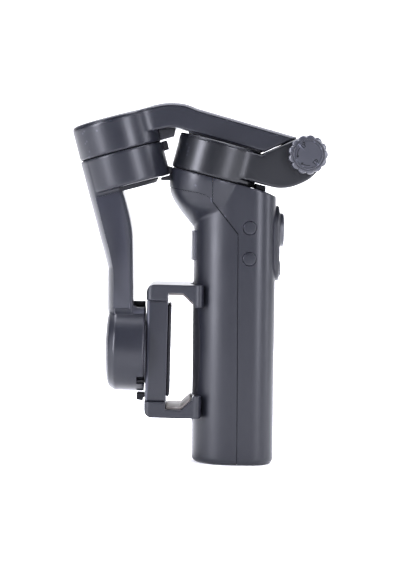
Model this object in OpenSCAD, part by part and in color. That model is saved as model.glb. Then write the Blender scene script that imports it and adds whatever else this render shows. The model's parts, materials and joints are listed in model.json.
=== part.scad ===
// Folding three-axis phone gimbal, stowed: the arms lie over the handle and the phone clamp
// rests against the front of the grip. Millimetres, +Z up the handle, +X towards the thumb
// controls, origin at the mouth of the tripod socket in the foot of the handle.

/* [Grip] */
// Front of the grip, ahead of the socket axis
grip_front = 20.4; // [19.6:0.1:21]
// Back of the grip, behind the socket axis
grip_back = 20.2; // [19.8:0.1:20.6]
// Half the width of the grip
grip_half_w = 17.5; // [17:0.1:18]
// Radius of the two rear corners
grip_corner_r = 11.5; // [10:0.5:12.5]
// Radius round the foot
foot_r = 3.5; // [2:0.5:5]
// Wall of the moulded shells
wall = 2; // [1.6:0.1:2.2]

/* [Motors] */
// Radius of the pan and tilt motor housings
motor_r = 21; // [20.6:0.1:21.2]
// Radius of the roll motor housing
roll_r = 21.5; // [21:0.1:21.6]
// Gap at each turning joint
gap = 0.5; // [0.4:0.1:0.8]
// Height of the pan motor housing above its gap
pan_h = 17.7; // [17.2:0.1:17.8]
// Height of the tilt motor's upper housing
tilt_top_h = 17.6; // [17.3:0.1:18]
// Height of the tilt motor's lower housing
tilt_low_h = 17; // [16.5:0.1:17.4]
// Radius of the motor shafts
shaft_r = 3; // [2.8:0.1:3.2]
// Radial play of a shaft in its bearings
shaft_play = 0.03; // [0.02:0.01:0.08]

/* [Arms] */
// Half the width of the main arm
arm_half_w = 13.4; // [13:0.1:14]
// Half the width of the knuckle across its two ears
ear_half_w = 16.2; // [16:0.1:16.4]
// Radius of the ears round the fold hinge
ear_r = 9.3; // [9:0.1:9.4]
// Half the width of the tongue between the ears
tongue_half_w = 6; // [5:0.5:6]
// Half the width of the tilt arm
tilt_arm_half_w = 12; // [11.8:0.1:12.6]

/* [Clamp] */
// Half the length of the clamp body, from the roll axis to the split line of a jaw
clamp_half_h = 24.7; // [24.3:0.1:25]
// Half the width of the clamp
clamp_half_w = 15; // [14.5:0.1:15.5]
// Half the smallest width of phone that the jaws hold
jaw_inner = 28.8; // [28.4:0.1:29]
// Lean of the stowed clamp from upright, degrees
clamp_lean = 0.8; // [0:0.1:1]

/* [Controls] */
// Radius of the joystick cap
stick_r = 8.5; // [8:0.1:8.6]
// Radius of the round button under the joystick
mode_r = 3.9; // [3.5:0.1:4]
// Radius of the two side buttons
side_r = 3.2; // [3:0.1:3.3]
// Radius of the lock knob
knob_r = 9.65; // [9.4:0.05:9.8]
// Number of scallops round the lock knob
knob_scallops = 13; // [12:1:18]

/* [Mounts] */
// Radius of the quarter-inch tripod thread
socket_r = 3.175; // [3.1:0.005:3.2]
// Depth of the tripod thread
socket_depth = 9; // [8:0.5:9]

/* [Hidden] */
$fn = 64;

// Points of the frame: [x, z] in the middle plane, and the lean of each axis from upright
pan_at = [-11.5, 142.5];
pan_lean = 14.3;
tilt_at = [-56.9, 154.7];
tilt_lean = -15.2;
roll_at = [-30.4, 56.4];
hinge_at = [35, 153.9];
shoulder_turn = 114.3;
knuckle_lift = 2.9;

// Rear controls
bezel_z = 109.9;
bezel_half_h = 18.8;
bezel_half_w = 10.75;
bezel_face = 22.3;
stick_z = 116.6;
stick_pivot_x = 16.6;
stick_well_r = 10;
mode_z = 97.2;
light_z = 104;
light_r = 0.9;
side_x = 7.2;
side_z = [102.5, 117.7];

// Trigger
trigger_z = [101, 116];
trigger_half_w = 6.2;
trigger_play = 0.2;
trigger_proud = 1.3;

// Front grip pad
pad_z = [19, 91.3];
pad_half_w = 9.5;
pad_t = 1;

// Motor insides, measured from the middle of the gap
hub_r = 7.9;
flange_r = 15;
flange_t = 3;
stack_r = 14.2;
stack_h = 8;
magnet_t = 2;
magnet_play = 1;
bearing_r = 5.5;
bearing_h = 4;
slots = 12;
deck = 2;

// Fold hinge
bolt_r = 3;
bolt_play = 0.05;
shoulder_play = 0.4;
slot_play = 0.3;
tongue_r = 6.6;
slot_r = 7.3;
knob_back = 17;
knob_front = 22.7;
knob_cap_r = 7.15;

// Clamp, in the frame of the roll axis: x along the axis, z across the phone
hub_back = -13.6;
roll_front = -13.8;
body_back = -13;
body_front = -4.3;
cover_front = -2.6;
pad_front = -1;
jaw_top = 33;
jaw_back = -13.3;
jaw_lip_x = 15;
jaw_lip_z = 21.7;
jaw_half_w = 17.5;
jaw_play = 1.4;
rail_x = [-9.3, -5.3];
rail_end = 3;
rail_play = 0.2;
split_play = 0.3;

far = 60;

function arc(c, r, from, to, steps) =
  [for (i = [0:steps]) c + r * [cos(from + (to - from) * i / steps), sin(from + (to - from) * i / steps)]];

function grip_outline(inset) = concat(
  [for (i = [0:18]) [1 + (grip_front + 1 - inset) * cos(90 + 10 * i), (grip_half_w - inset) * sin(90 + 10 * i)]],
  arc([grip_back - grip_corner_r, grip_corner_r - grip_half_w], grip_corner_r - inset, 270, 360, 8),
  arc([grip_back - grip_corner_r, grip_half_w - grip_corner_r], grip_corner_r - inset, 0, 90, 8)
);

// Height of the pan gap's plane over a point x of the middle plane
function pan_plane(x, above) = pan_at[1] - (x - pan_at[0]) * tan(pan_lean) + above / cos(pan_lean);

module side_slab(half_w) {
  rotate([90, 0, 0]) linear_extrude(height = 2 * half_w, center = true) children();
}
module facing_rear(x, depth) {
  translate([x, 0, 0]) rotate([90, 0, 90]) linear_extrude(height = depth) children();
}
module at_pan() {
  translate([pan_at[0], 0, pan_at[1]]) rotate([0, pan_lean, 0]) children();
}
module at_tilt() {
  translate([tilt_at[0], 0, tilt_at[1]]) rotate([0, tilt_lean, 0]) children();
}
module at_tilt_down() {
  at_tilt() rotate([180, 0, 0]) children();
}
module at_roll() {
  translate([roll_at[0], 0, roll_at[1]]) rotate([0, clamp_lean, 0]) children();
}
module along_roll(x) {
  at_roll() translate([x, 0, 0]) rotate([0, 90, 0]) children();
}
module at_hinge() {
  translate([hinge_at[0], 0, hinge_at[1]]) rotate([90, 0, 0]) children();
}
module block(low, high) {
  translate(low) cube(high - low);
}
module disc(r, from, to) {
  translate([0, 0, from]) cylinder(r = r, h = to - from);
}
module ring(outer, inner, from, to) {
  difference() {
    disc(outer, from, to);
    disc(inner, from - 1, to + 1);
  }
}
module oval(half_w, low, high) {
  hull_line = high - low - 2 * half_w;
  translate([-half_w, low + half_w]) square([2 * half_w, hull_line]);
  translate([0, low + half_w]) circle(r = half_w);
  translate([0, high - half_w]) circle(r = half_w);
}

// ---- handle ----

module grip_side(inset) {
  foot = foot_r - inset / 2;
  polygon(concat(
    arc([foot - grip_front - 1, foot + inset], foot, 180, 270, 6),
    arc([grip_back + 1 - foot, foot + inset], foot, 270, 360, 6),
    [[grip_back + 1, 132.7 - inset], [12.9, 136.4 - inset], [7, pan_plane(7, -gap / 2) - inset], [-10, pan_plane(-10, -gap / 2) - inset]],
    [[-grip_front - 1, pan_plane(-10, -gap / 2) - 24 - inset]]
  ));
}
// The head swells from the front of the grip to the round seat of the pan motor
module head_bowl(inset) {
  at_pan() rotate_extrude() polygon([
    [0, -28 + inset], [2.7 - inset / 2, -26.3 + inset], [6.4, -23.6 + inset * 1.4],
    [11.4, -19.9 + inset * 1.4], [16.2 - inset / 2, -15.4 + inset], [19.2 - inset, -10.5],
    [20.7 - inset, -4], [motor_r - inset, -gap / 2 - inset], [0, -gap / 2 - inset]
  ]);
}
module handle_solid(inset) {
  union() {
    intersection() {
      linear_extrude(height = 150) polygon(grip_outline(inset));
      side_slab(far) grip_side(inset);
      // the foot is rounded across its width too
      rotate([90, 0, 90]) linear_extrude(height = 2 * far, center = true) polygon(concat(
        arc([foot_r - grip_half_w - 0.5, foot_r + inset], foot_r, 180, 270, 6),
        arc([grip_half_w + 0.5 - foot_r, foot_r + inset], foot_r, 270, 360, 6),
        [[grip_half_w + 0.5, 150], [-grip_half_w - 0.5, 150]]
      ));
    }
    head_bowl(inset);
  }
}
module front_zone() {
  side_slab(far) polygon([[-far, -5], [0.9, -5], [1.35, 114.6], [-11.3, 130.4], [-14.2, 133.5], [-18.4, 134.8], [-far, 142.1]]);
}
module rear_zone() {
  side_slab(far) polygon([[0.9, -5], [far, -5], [far, 160], [-11.3, 160], [-11.3, 130.4], [1.35, 114.6]]);
}
module collar_zone() {
  side_slab(far) polygon([[-11.3, 130.4], [-11.3, 160], [-far, 160], [-far, 142.1], [-18.4, 134.8], [-14.2, 133.5]]);
}
module pad_prism(half_w, low, high) {
  facing_rear(-40, 40) oval(half_w, low, high);
}
screw_z = [22, 85];
module shell_wall() {
  difference() {
    handle_solid(0);
    handle_solid(wall);
    at_pan() disc(hub_r + 0.1, -deck - 6, 1);
  }
}
module socket_boss() {
  difference() {
    disc(8, wall - 0.5, socket_depth + 2);
    disc(5, -1, socket_depth + 3);
  }
}
module front_shell() {
  color("#33343a") difference() {
    union() {
      intersection() {
        union() {
          shell_wall();
          socket_boss();
        }
        front_zone();
      }
      for (z = screw_z) translate([0, 0, z]) rotate([0, -90, 0]) disc(3.4, 12.2, 19);
    }
    intersection() {
      difference() {
        linear_extrude(height = 150) polygon(grip_outline(-1));
        linear_extrude(height = 150) polygon(grip_outline(pad_t));
      }
      pad_prism(pad_half_w, pad_z[0], pad_z[1]);
    }
    for (z = screw_z) translate([0, 0, z]) rotate([0, -90, 0]) {
      disc(1.6, 12, 22);
      disc(2.6, 15.5, 22);
    }
    block([-30, -trigger_half_w - trigger_play, trigger_z[0] - trigger_play],
      [-8, trigger_half_w + trigger_play, trigger_z[1] + trigger_play]);
    disc(5, -1, socket_depth);
  }
}
module bezel_opening() {
  facing_rear(10, 20) oval(bezel_half_w - 0.5, bezel_z - bezel_half_h + 0.5, bezel_z + bezel_half_h - 0.5);
}
module rear_shell() {
  color("#303137") difference() {
    union() {
      intersection() {
        union() {
          shell_wall();
          socket_boss();
        }
        rear_zone();
      }
      for (z = screw_z) translate([0, 0, z]) rotate([0, 90, 0]) disc(3, -12, 18.6);
    }
    for (z = screw_z) translate([0, 0, z]) rotate([0, 90, 0]) disc(1.3, -13, 6);
    bezel_opening();
    for (z = side_z) translate([side_x, -14, z]) rotate([90, 0, 0]) disc(side_r + 0.15, 0, 6);
    block([6.4, 12, 55.4], [9.8, 20, 64.6]);
    disc(5, -1, socket_depth);
  }
}
module head_collar() {
  color("#2e2f35") intersection() {
    shell_wall();
    collar_zone();
  }
}
module control_bezel() {
  color("#1d1e22") difference() {
    facing_rear(8, bezel_face - 8) oval(bezel_half_w, bezel_z - bezel_half_h, bezel_z + bezel_half_h);
    linear_extrude(height = 150) polygon(grip_outline(0));
    translate([0, 0, stick_z]) rotate([0, 90, 0]) disc(stick_well_r, 5, 30);
    translate([0, 0, mode_z]) rotate([0, 90, 0]) disc(mode_r + 0.15, 5, 30);
    translate([0, 0, light_z]) rotate([0, 90, 0]) disc(light_r, 5, 30);
  }
}
module front_grip_pad() {
  color("#222327") intersection() {
    difference() {
      linear_extrude(height = 150) polygon(grip_outline(0));
      linear_extrude(height = 150) polygon(grip_outline(pad_t));
    }
    pad_prism(pad_half_w - 0.15, pad_z[0] + 0.15, pad_z[1] - 0.15);
  }
}
module tripod_insert() {
  color("#b08d4a") ring(5, socket_r, 0, socket_depth);
}
module battery_cell() {
  color("#3f6b8f") translate([-2, 0, 0]) {
    disc(9, 28, 78);
    disc(3, 78, 79);
  }
}
module battery_holder() {
  color("#3a3b40") translate([-2, 0, 0]) difference() {
    disc(10.4, 26.4, 80);
    disc(9.1, 28, 79);
    block([-12, -2, 30], [12, 2, 76]);
  }
}
module main_board() {
  color("#1f5c3a") union() {
    block([13, -10, 27], [14.4, 10, 81]);
    block([10.5, -6, 40], [13, 6, 52]);
    block([11.5, 3, 55], [13, 9, 65]);
  }
}
module button_board() {
  color("#1f5c3a") union() {
    block([9, -8, 90], [10.4, 8, 126]);
    translate([0, 0, mode_z]) rotate([0, 90, 0]) disc(2, 10.4, 12);
  }
}
module joystick_base() {
  color("#2a2b2f") translate([0, 0, stick_z]) union() {
    block([10.4, -6, -6], [13.6, 6, 6]);
    for (side = [-1, 1]) translate([0, side * 7.7, 0]) {
      block([13, -0.7, -2], [18, 0.7, 2]);
      block([10.4, side < 0 ? -0.7 : -1.8, -2], [13.6, side < 0 ? 1.8 : 0.7, 2]);
    }
  }
}
module charge_port() {
  color("#9a9ca0") difference() {
    block([6.5, 11, 55.5], [9.7, 17.3, 64.5]);
    block([7, 13, 56], [9.2, 20, 64]);
  }
}
module status_light() {
  color("#e8f2ff") translate([0, 0, light_z]) rotate([0, 90, 0]) disc(light_r, 14, bezel_face);
}
module shell_screws() {
  color("#8c8e92") for (z = screw_z) translate([0, 0, z]) rotate([0, -90, 0]) {
    disc(1.25, -2, 15.5);
    disc(2.4, 15.5, 17.2);
  }
}
module trigger_switch() {
  color("#26272a") union() {
    block([-11, -3, 103], [-6, 3, 112]);
    block([-11.3, -1, 106], [-11, 1, 109]);
  }
}
module trigger() {
  color("#24252a") intersection() {
    linear_extrude(height = 150) polygon(grip_outline(-trigger_proud));
    block([-30, -trigger_half_w, trigger_z[0]], [-13, trigger_half_w, trigger_z[1]]);
  }
}
module mode_button() {
  color("#2a2b30") translate([0, 0, mode_z]) rotate([0, 90, 0]) disc(mode_r, 12.8, 23.1);
}
module side_button(z) {
  translate([side_x, 0, z]) rotate([90, 0, 0]) {
    disc(side_r, 14.2, grip_half_w + 0.1);
    disc(side_r + 1, 13.4, 14.8);
  }
}
module side_button_upper() {
  color("#34353b") side_button(side_z[1]);
}
module side_button_lower() {
  color("#34353b") side_button(side_z[0]);
}
module joystick_ring() {
  color("#6d6f74") translate([stick_pivot_x, 0, stick_z]) rotate([0, 90, 0]) ring(6.8, 5, -1.4, 1.4);
}
module joystick() {
  color("#25262b") translate([0, 0, stick_z]) rotate([0, 90, 0]) rotate_extrude() polygon([
    [0, 15.4], [2.2, 15.4], [2.2, 20.5], [stick_r - 1.5, 21.6], [stick_r, 22.3],
    [stick_r, 23.4], [stick_r - 1, 24.3], [5, 24.5], [0, 23.9]
  ]);
}

// ---- motors, drawn with the stator below z = 0 and the rotor above it ----

module stator(flange_at, stack_at) {
  hub_top = stack_at + stack_h + 1;
  difference() {
    union() {
      disc(flange_r, flange_at, flange_at + flange_t);
      disc(hub_r, flange_at, hub_top);
      difference() {
        disc(stack_r, stack_at, stack_at + stack_h);
        for (i = [1:slots]) rotate([0, 0, i * 360 / slots])
          block([hub_r + 1.5, -1.2, stack_at - 1], [stack_r + 1, 1.2, stack_at + stack_h + 1]);
      }
    }
    disc(shaft_r + 1, flange_at - 1, hub_top + 1);
    disc(bearing_r, flange_at - 1, flange_at + bearing_h);
    disc(bearing_r, hub_top - bearing_h, hub_top + 1);
  }
}
module bearings(flange_at, stack_at) {
  hub_top = stack_at + stack_h + 1;
  ring(bearing_r, shaft_r + shaft_play, flange_at, flange_at + bearing_h);
  ring(bearing_r, shaft_r + shaft_play, hub_top - bearing_h, hub_top);
}
module shaft(from, to) {
  disc(shaft_r, from, to);
  disc(hub_r, to - 0.8, to);
}
pan_flange = -gap / 2 - deck - flange_t;
stack_above = 3;
cavity_top = 13.2;
magnet_outer = stack_r + magnet_play + magnet_t;

module pan_stator() {
  color("#8a6f3c") at_pan() stator(pan_flange, stack_above);
}
module pan_bearings() {
  color("#b9bbbf") at_pan() bearings(pan_flange, stack_above);
}
module pan_shaft() {
  color("#a9abaf") at_pan() shaft(pan_flange - 1, cavity_top);
}
module pan_magnet_ring() {
  color("#7d7f84") at_pan() ring(magnet_outer, stack_r + magnet_play, 2.5, 11.5);
}

// ---- pan head and fold hinge ----

module about_hinge() {
  translate(hinge_at) rotate(shoulder_turn) children();
}
module knuckle_side() {
  polygon(concat(
    [[0, 146], [0, pan_plane(0, knuckle_lift)], [15.4, pan_plane(15.4, knuckle_lift)], [21.7, 137.4],
     [28.5, 138.4], [37.5, 143]],
    arc(hinge_at, ear_r, -34, shoulder_turn, 14),
    [[14.4, 154.7], [13.2, pan_plane(13.2, pan_h - 1.1)], [0, pan_plane(0, pan_h - 1.1)]]
  ));
}
module tongue_slot() {
  union() {
    translate(hinge_at) circle(r = slot_r);
    about_hinge() polygon([[0, slot_r], [30, 14.5], [30, -30], [0, -40], [-27.8, -11.2], [0, 0]]);
  }
}
module pan_housing() {
  color("#37383e") difference() {
    union() {
      at_pan() rotate_extrude() polygon([
        [0, gap / 2], [motor_r, gap / 2], [motor_r, pan_h - 1], [0, pan_h - 1]
      ]);
      side_slab(ear_half_w) knuckle_side();
    }
    at_pan() disc(magnet_outer, -5, cavity_top);
    intersection() {
      side_slab(tongue_half_w + slot_play) tongue_slot();
      block([14.5, -20, 120], [60, 20, 200]);
    }
    at_hinge() {
      disc(bolt_r, -20, 20);
      disc(5.6, -20, -13);
    }
  }
}
module pan_top_cover() {
  color("#3d3e45") at_pan() rotate_extrude() polygon([
    [0, pan_h - 1], [motor_r - 0.15, pan_h - 1], [motor_r - 1, pan_h], [0, pan_h]
  ]);
}
module hinge_bolt() {
  color("#8c8e92") at_hinge() {
    disc(bolt_r, -13.1, 21.6);
    disc(5.5, -15.9, -13);
    disc(7.6, ear_half_w, knob_back - 0.2);
  }
}
module lock_knob() {
  color("#232429") at_hinge() difference() {
    disc(knob_r, knob_back, knob_front);
    for (i = [1:knob_scallops]) rotate([0, 0, i * 360 / knob_scallops])
      translate([knob_r + 0.6, 0, 0]) disc(1.25, knob_back - 1, knob_front + 1);
    disc(bolt_r + bolt_play, knob_back - 1, 21.8);
    ring(knob_cap_r, 6, knob_front - 0.4, knob_front + 1);
  }
}
module knob_cap() {
  color("#2b2c31") at_hinge() disc(knob_cap_r, knob_front, knob_front + 0.5);
}

// ---- main arm ----

module arm_side() {
  polygon([
    [-60, 171.9], [-41.1, 177.2], [-35.7, 178.5], [-30.3, 178.7], [-24.9, 178.2], [-19.5, 176.1], [30, 162.5],
    [14.4, 155.3], [-25, 165.5], [-31, 166.4], [-36, 166.2], [-60, 159.6]
  ]);
}
module main_arm() {
  color("#35363c") difference() {
    union() {
      at_tilt() rotate_extrude() polygon([
        [0, gap / 2], [motor_r, gap / 2], [motor_r, tilt_top_h - 2.5], [motor_r - 0.7, tilt_top_h - 0.8],
        [motor_r - 2.5, tilt_top_h], [0, tilt_top_h]
      ]);
      side_slab(arm_half_w) arm_side();
      side_slab(tongue_half_w) {
        translate(hinge_at) circle(r = tongue_r);
        about_hinge() polygon([[0, tongue_r], [11, 9.2], [11, 2.9], [5.15, -4.2], [0, 0]]);
      }
    }
    at_tilt() {
      disc(18.4, gap / 2 + deck, tilt_top_h - 2.4);
      disc(hub_r + 0.1, -1, 6);
    }
    at_hinge() disc(4.5, -10, 10);
    arm_cover_space();
    side_slab(6) polygon([[-44, 169.5], [-44, 173.5], [-24, 172.9], [-24, 169.4]]);
  }
}
module arm_cover_space() {
  side_slab(10) polygon([[-24, 163], [-24, 172.9], [6, 164.8], [6, 155]]);
}
module arm_cover() {
  color("#2d2e33") intersection() {
    side_slab(9.9) polygon([[-23.9, 160], [-23.9, 167], [5.9, 159.3], [5.9, 152]]);
    side_slab(20) translate([0, -0.7]) arm_side();
  }
}
module hinge_bush() {
  color("#c3a15a") at_hinge() ring(4.5, bolt_r + bolt_play, -tongue_half_w, tongue_half_w);
}
module tilt_stator() {
  color("#8a6f3c") at_tilt_down() stator(pan_flange, stack_above);
}
module tilt_bearings() {
  color("#b9bbbf") at_tilt_down() bearings(pan_flange, stack_above);
}
module tilt_stop_block() {
  color("#1c1d20") difference() {
    at_tilt() block([motor_r - 2, -5, 0.5], [motor_r + 5.5, 5, 7]);
    at_tilt() disc(motor_r + 0.02, 0, tilt_top_h);
    side_slab(20) arm_side();
  }
}

// ---- tilt arm ----

module tilt_arm_side() {
  polygon([
    [-73.8, 142.6], [-71.2, 129.4], [-65.2, 104.5], [-63.6, 98.5], [-63, 92.5], [-62.9, 80], [-62.9, 60], [-50.1, 60],
    [-50.1, 81.4], [-50.3, 105.1], [-51, 117], [-53.7, 128.8], [-56.2, 137], [-60, 146]
  ]);
}
module panel_side(inset) {
  polygon([
    [-67.4 + inset, 129 - inset], [-60.2 + inset, 98], [-60.2 + inset, 80 + inset], [-51.2 - inset, 80 + inset],
    [-51.4 - inset, 105.1], [-52.1 - inset, 117], [-54.8 - inset, 129 - inset]
  ]);
}
module roll_case() {
  along_roll(0) rotate_extrude() polygon([
    [0, -31.9], [19, -31.9], [20.8, -30.9], [roll_r, -28.4], [roll_r, roll_front], [0, roll_front]
  ]);
}
module tilt_arm() {
  color("#34353b") difference() {
    union() {
      at_tilt_down() rotate_extrude() polygon([
        [0, gap / 2], [motor_r - 0.4, gap / 2], [motor_r - 0.4, tilt_low_h - 2.5], [motor_r - 1.1, tilt_low_h - 0.8],
        [motor_r - 2.8, tilt_low_h], [0, tilt_low_h]
      ]);
      side_slab(tilt_arm_half_w) tilt_arm_side();
      roll_case();
    }
    at_tilt_down() disc(magnet_outer, -5, cavity_top);
    along_roll(0) {
      disc(18.4, -28.9, -10);
      disc(18.4, -33, -31.1);
      disc(4.4, -33, -20);
    }
    for (side = [-1, 1]) translate([0, side * (tilt_arm_half_w + 1), 0]) side_slab(1.8) panel_side(0);
    side_slab(4) polygon([[-60, 70], [-60, 92], [-56, 92], [-56, 70]]);
  }
}
module tilt_arm_panels() {
  color("#2c2d32") for (side = [-1, 1]) translate([0, side * (tilt_arm_half_w - 0.5), 0])
    side_slab(0.3) panel_side(0.15);
}
module tilt_bottom_cap() {
  color("#17181b") difference() {
    at_tilt_down() rotate_extrude() polygon([
      [0, tilt_low_h], [14.5, tilt_low_h], [14.5, tilt_low_h + 0.6], [13, tilt_low_h + 2.2], [0, tilt_low_h + 2.2]
    ]);
    side_slab(tilt_arm_half_w) tilt_arm_side();
    block([-90, -30, 100], [-57, 30, 160]);
  }
}
module tilt_magnet_ring() {
  color("#7d7f84") at_tilt_down() ring(magnet_outer, stack_r + magnet_play, 2.5, 11.5);
}
module tilt_shaft() {
  color("#a9abaf") at_tilt_down() shaft(pan_flange - 1, cavity_top);
}
module tilt_stop_pin() {
  color("#141518") difference() {
    at_tilt() block([motor_r - 2, -2.5, -5], [motor_r + 2.4, 2.5, -gap / 2]);
    at_tilt() disc(motor_r - 0.4, -20, 0);
  }
}
module roll_end_cap() {
  color("#2b2c31") along_roll(0) rotate_extrude() polygon([
    [0, -33.4], [12, -33.2], [17, -32.5], [18.3, -32], [18.3, -31.1], [0, -31.1]
  ]);
}
roll_flange = -28.9;
roll_stack = -23;
module roll_stator() {
  color("#8a6f3c") along_roll(0) stator(roll_flange, roll_stack);
}
module roll_bearings() {
  color("#b9bbbf") along_roll(0) bearings(roll_flange, roll_stack);
}
module roll_rest_bar() {
  color("#17181b") difference() {
    at_roll() block([-20, -4, 21], [-14, 4, 23.6]);
    roll_case();
    side_slab(tilt_arm_half_w) tilt_arm_side();
  }
}

// ---- phone clamp ----

module roll_hub() {
  color("#6f7176") along_roll(0) union() {
    disc(17.6, hub_back, body_back);
    ring(17.6, magnet_outer - 0.6, -25, hub_back);
  }
}
module roll_magnet_ring() {
  color("#7d7f84") along_roll(0) ring(magnet_outer - 0.6, stack_r + 0.8, -24, -15.5);
}
module roll_shaft() {
  color("#a9abaf") along_roll(0) disc(shaft_r, roll_flange - 0.6, hub_back);
}
module both_sides() {
  children();
  mirror([0, 1, 0]) children();
}
module rail_channel(low_y, high_y) {
  both_sides() block([rail_x[0] - rail_play, low_y - rail_play, rail_end - 2],
    [rail_x[1] + rail_play, high_y + rail_play, clamp_half_h + 1]);
}
module clamp_body() {
  color("#2f3035") at_roll() difference() {
    block([body_back, -clamp_half_w, -clamp_half_h], [body_front, clamp_half_w, clamp_half_h]);
    rail_channel(8, 12);
    rotate([180, 0, 0]) rail_channel(2, 6);
    translate([-7.3, 0, 0]) disc(2, rail_end - 1, clamp_half_h + 1);
  }
}
module clamp_cover() {
  color("#27282d") at_roll()
    block([body_front, -clamp_half_w, -clamp_half_h], [cover_front, clamp_half_w, clamp_half_h]);
}
module clamp_pad() {
  color("#1b1c1f") at_roll() block([cover_front, -12.5, -22], [pad_front, 12.5, 22]);
}
module roll_stop_hook() {
  color("#17181b") at_roll() side_slab(4)
    polygon([[-17.5, -22.2], [-17.5, -25.6], [-14.2, -26.2], [-14.2, -24.4], [body_back, -24.4], [body_back, -22.2]]);
}
module jaw_spring() {
  color("#b4b6ba") at_roll() translate([-7.3, 0, 0]) {
    for (i = [0:13]) translate([0, 0, rail_end + 0.6 + 1.5 * i]) rotate_extrude() translate([1.4, 0]) circle(r = 0.35);
  }
}
// A jaw as it stands above the roll axis; the lower one is its mirror
module jaw_side() {
  polygon(concat(
    [[jaw_back, clamp_half_h + split_play]],
    [[cover_front, clamp_half_h + split_play], [cover_front, jaw_inner], [5, jaw_inner], [10.6, 24], [10.6, jaw_lip_z]],
    [[jaw_lip_x, jaw_lip_z], [jaw_lip_x, jaw_top - 1.5], [jaw_lip_x - 1.5, jaw_top]],
    arc([jaw_back + 4, jaw_top - 4], 4, 90, 180, 6)
  ));
}
module grip_clearance() {
  linear_extrude(height = 150) polygon(grip_outline(-jaw_play));
}
module jaw(low_y, high_y) {
  at_roll() {
    side_slab(jaw_half_w) jaw_side();
    both_sides() block([rail_x[0], low_y, rail_end], [rail_x[1], high_y, clamp_half_h + 2]);
  }
}
module flip_jaw() {
  at_roll() mirror([0, 0, 1]) rotate([0, -clamp_lean, 0]) translate([-roll_at[0], 0, -roll_at[1]]) children();
}
module jaw_pad() {
  at_roll() block([cover_front + 0.4, -14, jaw_inner - 1.2], [4.6, 14, jaw_inner]);
}
module upper_jaw() {
  color("#2c2d32") difference() {
    jaw(8, 12);
    grip_clearance();
  }
}
module upper_jaw_pad() {
  color("#45423f") jaw_pad();
}
module lower_jaw() {
  color("#2c2d32") difference() {
    flip_jaw() jaw(2, 6);
    grip_clearance();
  }
}
module lower_jaw_pad() {
  color("#45423f") flip_jaw() jaw_pad();
}
module pan_rest_block() {
  color("#141518") difference() {
    side_slab(8) polygon([
      [10, pan_plane(10, knuckle_lift - 0.4)], [15, pan_plane(15, knuckle_lift - 0.4)], [15, 134], [10, 134]
    ]);
    handle_solid(-0.02);
    at_pan() disc(motor_r + 0.3, -1, 9);
  }
}
module stow_bumper() {
  color("#141518") difference() {
    block([-37, -6, 140.6], [-28, 6, 147.8]);
    at_pan() disc(40, -gap / 2, 30);
    handle_solid(-0.02);
    at_tilt_down() disc(motor_r + 0.2, -5, tilt_low_h + 0.4);
  }
}

front_shell();
rear_shell();
head_collar();
control_bezel();
front_grip_pad();
tripod_insert();
battery_cell();
battery_holder();
main_board();
button_board();
joystick_base();
charge_port();
status_light();
shell_screws();
pan_stator();
pan_bearings();
stow_bumper();
pan_rest_block();
trigger_switch();
trigger();
mode_button();
side_button_upper();
side_button_lower();
joystick_ring();
joystick();
pan_housing();
pan_top_cover();
pan_magnet_ring();
pan_shaft();
hinge_bolt();
lock_knob();
knob_cap();
main_arm();
arm_cover();
hinge_bush();
tilt_stator();
tilt_bearings();
tilt_stop_block();
tilt_arm();
tilt_arm_panels();
tilt_bottom_cap();
tilt_magnet_ring();
tilt_shaft();
tilt_stop_pin();
roll_end_cap();
roll_stator();
roll_bearings();
roll_rest_bar();
roll_hub();
roll_magnet_ring();
roll_shaft();
clamp_body();
clamp_cover();
clamp_pad();
roll_stop_hook();
jaw_spring();
upper_jaw();
upper_jaw_pad();
lower_jaw();
lower_jaw_pad();
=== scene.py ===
"""A folding three-axis phone gimbal, stowed. Lengths are in millimetres until a piece is placed."""
import json
import math

import bmesh
import bpy
from mathutils import Matrix, Vector


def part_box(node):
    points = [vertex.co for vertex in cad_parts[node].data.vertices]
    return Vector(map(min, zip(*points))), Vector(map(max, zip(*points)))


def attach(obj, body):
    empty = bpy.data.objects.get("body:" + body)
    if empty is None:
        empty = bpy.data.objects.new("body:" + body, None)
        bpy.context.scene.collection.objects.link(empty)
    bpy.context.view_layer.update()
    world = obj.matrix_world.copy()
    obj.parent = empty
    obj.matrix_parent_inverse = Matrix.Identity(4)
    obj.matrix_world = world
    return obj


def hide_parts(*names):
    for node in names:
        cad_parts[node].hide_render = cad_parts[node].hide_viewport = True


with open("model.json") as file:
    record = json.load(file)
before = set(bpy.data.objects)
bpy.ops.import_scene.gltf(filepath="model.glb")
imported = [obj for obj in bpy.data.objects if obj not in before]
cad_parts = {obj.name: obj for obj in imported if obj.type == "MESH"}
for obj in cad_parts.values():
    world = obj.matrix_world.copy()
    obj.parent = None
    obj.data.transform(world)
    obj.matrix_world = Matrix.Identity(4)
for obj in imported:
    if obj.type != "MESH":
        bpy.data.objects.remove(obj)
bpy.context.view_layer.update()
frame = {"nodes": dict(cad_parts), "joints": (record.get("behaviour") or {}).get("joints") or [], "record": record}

MM = 0.001
JOINTS = {joint["name"]: joint for joint in frame["joints"]}


def place_of(name):
    """A joint's place in millimetres."""
    return Vector(JOINTS[name]["pos_m"]) / MM


def frame_on(name, along):
    """Turns the given local axis onto a joint's axis, at the joint's place."""
    turn = Vector(along).rotation_difference(Vector(JOINTS[name]["axis"])).to_matrix().to_4x4()
    return Matrix.Translation(place_of(name)) @ turn


def box_mm(node):
    """A CAD node's box in millimetres."""
    low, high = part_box(node)
    return low / MM, high / MM


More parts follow.
